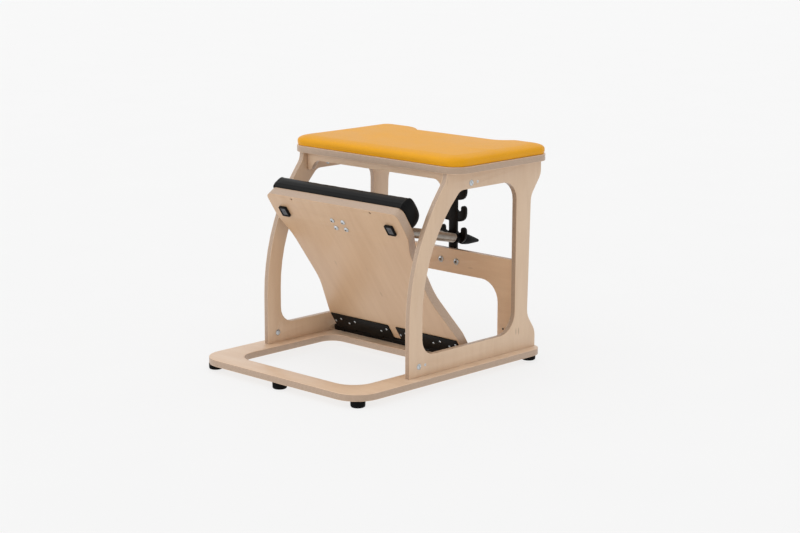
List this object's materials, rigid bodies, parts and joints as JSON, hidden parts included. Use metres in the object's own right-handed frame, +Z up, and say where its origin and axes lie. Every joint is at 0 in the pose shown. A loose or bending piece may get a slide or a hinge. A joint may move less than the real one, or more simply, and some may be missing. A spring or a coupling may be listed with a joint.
{
  "type": "pilates chair",
  "caption": "Plywood pilates chair with a padded seat, a hinged pedal board pulled up by two extension springs, and a post of hooks that sets their height.",
  "frame": {"origin": "on the floor under the middle of the chair's outer box, springs' pull knobs included", "axes": "+X to the right as seen from the pedal side, +Y from the pedal side to the back, +Z up"},
  "size_m": [0.6274, 0.7759, 0.6081],
  "materials": {
    "birch_ply": "clear satin lacquer on birch plywood, bare layered edges",
    "black_rubber": "matt moulded rubber",
    "orange_vinyl": "fine-grained upholstery vinyl over foam",
    "black_vinyl": "fine-grained upholstery vinyl over foam",
    "black_steel": "black powder coat",
    "zinc_plate": "bright zinc plating",
    "spring_steel": "drawn spring wire, plain",
    "black_plastic": "fine satin moulding"
  },
  "bodies": {
    "frame": {"base_board": "birch_ply", "foot_front_left": "black_rubber", "foot_front_middle": "black_rubber", "foot_front_right": "black_rubber", "foot_back_left": "black_rubber", "foot_back_right": "black_rubber", "side_panel_left": "birch_ply", "side_panel_right": "birch_ply", "back_panel": "birch_ply", "front_apron": "birch_ply", "seat_board": "birch_ply", "seat_pad": "orange_vinyl", "barrel_nut_low_left": "zinc_plate", "barrel_nut_low_right": "zinc_plate", "barrel_nut_high_left": "zinc_plate", "barrel_nut_high_right": "zinc_plate", "base_bolt_left": "zinc_plate", "base_bolt_right": "zinc_plate", "seat_bolt_left": "zinc_plate", "seat_bolt_right": "zinc_plate", "base_leaf": "black_steel", "hinge_pin": "zinc_plate", "spring_tree": "black_steel", "tree_bolt_left": "zinc_plate", "tree_bolt_right": "zinc_plate", "tree_nut_left": "zinc_plate", "tree_nut_right": "zinc_plate"},
    "pedal": {"pedal_board": "birch_ply", "pedal_roll": "black_vinyl", "roll_screw_left": "zinc_plate", "roll_screw_right": "zinc_plate", "bumper_left": "black_rubber", "bumper_right": "black_rubber", "pedal_leaf_left": "black_steel", "pedal_leaf_right": "black_steel", "spring_bracket": "black_steel", "bracket_pin": "zinc_plate", "bracket_bolt_left_1": "zinc_plate", "bracket_bolt_left_2": "zinc_plate", "bracket_bolt_right_1": "zinc_plate", "bracket_bolt_right_2": "zinc_plate", "bracket_nut_left_1": "zinc_plate", "bracket_nut_left_2": "zinc_plate", "bracket_nut_right_1": "zinc_plate", "bracket_nut_right_2": "zinc_plate"},
    "spring_rear_left": {"spring_rod_left": "zinc_plate", "spring_rear_cup_left": "black_plastic", "spring_knob_left": "black_plastic", "spring_coil_left": "spring_steel"},
    "spring_rear_right": {"spring_rod_right": "zinc_plate", "spring_rear_cup_right": "black_plastic", "spring_knob_right": "black_plastic", "spring_coil_right": "spring_steel"},
    "spring_front_left": {"spring_front_cup_left": "black_plastic"},
    "spring_front_right": {"spring_front_cup_right": "black_plastic"},
    "eye_left": {"spring_eye_left": "zinc_plate"},
    "eye_right": {"spring_eye_right": "zinc_plate"}
  },
  "joints": [
    {"name": "pedal_hinge", "type": "hinge", "parent": "frame", "child": "pedal", "pos_m": [0, 0.0903, 0.0462], "axis": [1, 0, 0], "range_deg": [0, 56.9], "stiffness_Nm_per_rad": 95, "springref_deg": -14.9},
    {"name": "spring_swing_left", "type": "hinge", "parent": "frame", "child": "spring_rear_left", "pos_m": [-0.0215, 0.3056, 0.31], "axis": [1, 0, 0], "range_deg": [0, 32.28]},
    {"name": "spring_swing_right", "type": "hinge", "parent": "frame", "child": "spring_rear_right", "pos_m": [0.0215, 0.3056, 0.31], "axis": [1, 0, 0], "range_deg": [0, 32.28]},
    {"name": "spring_stretch_left", "type": "slide", "parent": "spring_rear_left", "child": "spring_front_left", "axis": [0, -0.9781, 0.2082], "range_m": [0, 0.2417], "deforming": ["spring_coil_left"]},
    {"name": "spring_stretch_right", "type": "slide", "parent": "spring_rear_right", "child": "spring_front_right", "axis": [0, -0.9781, 0.2082], "range_m": [0, 0.2417], "deforming": ["spring_coil_right"]},
    {"name": "eye_pivot_left", "type": "hinge", "parent": "pedal", "child": "eye_left", "pos_m": [-0.0215, -0.08655, 0.39348], "axis": [1, 0, 0], "range_deg": [-24.66, 0]},
    {"name": "eye_pivot_right", "type": "hinge", "parent": "pedal", "child": "eye_right", "pos_m": [0.0215, -0.08655, 0.39348], "axis": [1, 0, 0], "range_deg": [-24.66, 0]}
  ],
  "couplings": [
    {"joint": "spring_swing_left", "follows": "pedal_hinge", "ratio": 0.56697},
    {"joint": "spring_swing_right", "follows": "pedal_hinge", "ratio": 0.56697},
    {"joint": "spring_stretch_left", "follows": "pedal_hinge", "m_per_rad": 0.24323},
    {"joint": "spring_stretch_right", "follows": "pedal_hinge", "m_per_rad": 0.24323},
    {"joint": "eye_pivot_left", "follows": "pedal_hinge", "ratio": -0.43303},
    {"joint": "eye_pivot_right", "follows": "pedal_hinge", "ratio": -0.43303}
  ]
}
